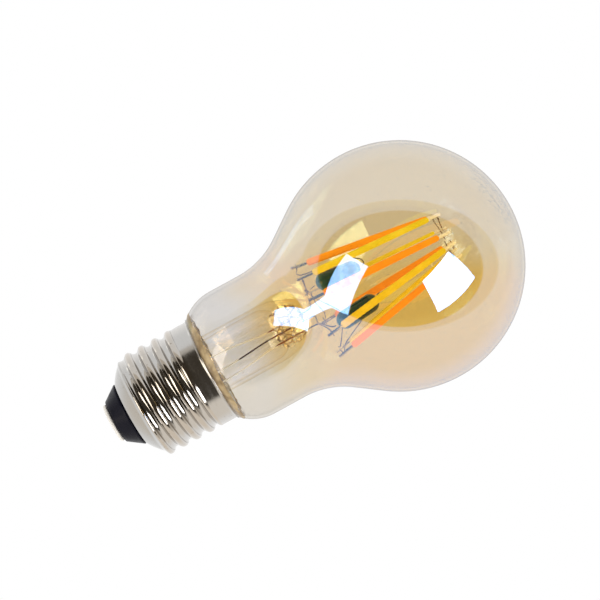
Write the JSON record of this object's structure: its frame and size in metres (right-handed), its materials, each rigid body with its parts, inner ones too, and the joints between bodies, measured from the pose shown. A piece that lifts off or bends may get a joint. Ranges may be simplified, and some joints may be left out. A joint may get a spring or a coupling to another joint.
{
  "type": "smart light bulb",
  "caption": "A60 filament lamp: amber glass globe, warm and cool filament cage on a glass stem, wireless driver inside an E27 screw cap.",
  "frame": {"origin": "centre of the centre contact's flat bottom face", "axes": "+Z along the bulb's axis, from the contact to the top of the globe; -Y is the front, the side the picture shows"},
  "size_m": [0.06, 0.06, 0.1086],
  "materials": {
    "amber_glass": "clear blown glass, thin gold-amber coat",
    "clear_glass": "clear drawn glass",
    "nickel_shell": "bright nickel plate on rolled brass",
    "cement": "matt cured resin cement",
    "black_insulator": "opaque black vitrified glass",
    "contact_metal": "tinned brass",
    "warm_phosphor": "orange phosphor in silicone, slight sheen",
    "cool_phosphor": "yellow phosphor in silicone, slight sheen",
    "lead_wire": "nickel and dumet wire, slightly oxidised",
    "green_enamel": "glossy green enamel",
    "driver_laminate": "green solder mask",
    "radio_laminate": "blue solder mask",
    "black_package": "moulded epoxy",
    "capacitor_sleeve": "shrunk film",
    "ferrite": "matt ferrite",
    "resistor_coat": "lacquered ceramic",
    "shield_metal": "tinned steel",
    "insulated_wire": "coloured insulation",
    "sleeve_film": "polyester film"
  },
  "bodies": {
    "root": {"glass_envelope": "amber_glass", "glass_stem": "clear_glass", "exhaust_tube": "clear_glass", "screw_shell": "nickel_shell", "basing_cement": "cement", "base_insulator": "black_insulator", "centre_contact": "contact_metal", "warm_filament_1": "warm_phosphor", "warm_filament_2": "warm_phosphor", "warm_filament_3": "warm_phosphor", "warm_filament_4": "warm_phosphor", "cool_filament_1": "cool_phosphor", "cool_filament_2": "cool_phosphor", "cool_filament_3": "cool_phosphor", "cool_filament_4": "cool_phosphor", "cool_top_link_1": "lead_wire", "cool_top_link_2": "lead_wire", "warm_top_link_1": "lead_wire", "warm_top_link_2": "lead_wire", "cool_foot_link": "lead_wire", "warm_foot_link": "lead_wire", "common_lead": "lead_wire", "cool_lead": "lead_wire", "warm_lead": "lead_wire", "common_branch_lead": "lead_wire", "resistor_loop_1": "lead_wire", "resistor_loop_2": "lead_wire", "ballast_resistor_1": "green_enamel", "ballast_resistor_2": "green_enamel", "driver_board": "driver_laminate", "wireless_board": "radio_laminate", "bridge_rectifier": "black_package", "driver_chip": "black_package", "channel_mosfet_1": "black_package", "channel_mosfet_2": "black_package", "module_header": "black_package", "bulk_capacitor": "capacitor_sleeve", "buck_inductor": "ferrite", "fusible_resistor": "resistor_coat", "wireless_shield": "shield_metal", "live_wire": "insulated_wire", "neutral_wire": "insulated_wire", "antenna_wire": "insulated_wire", "insulating_sleeve": "sleeve_film"}
  },
  "joints": []
}
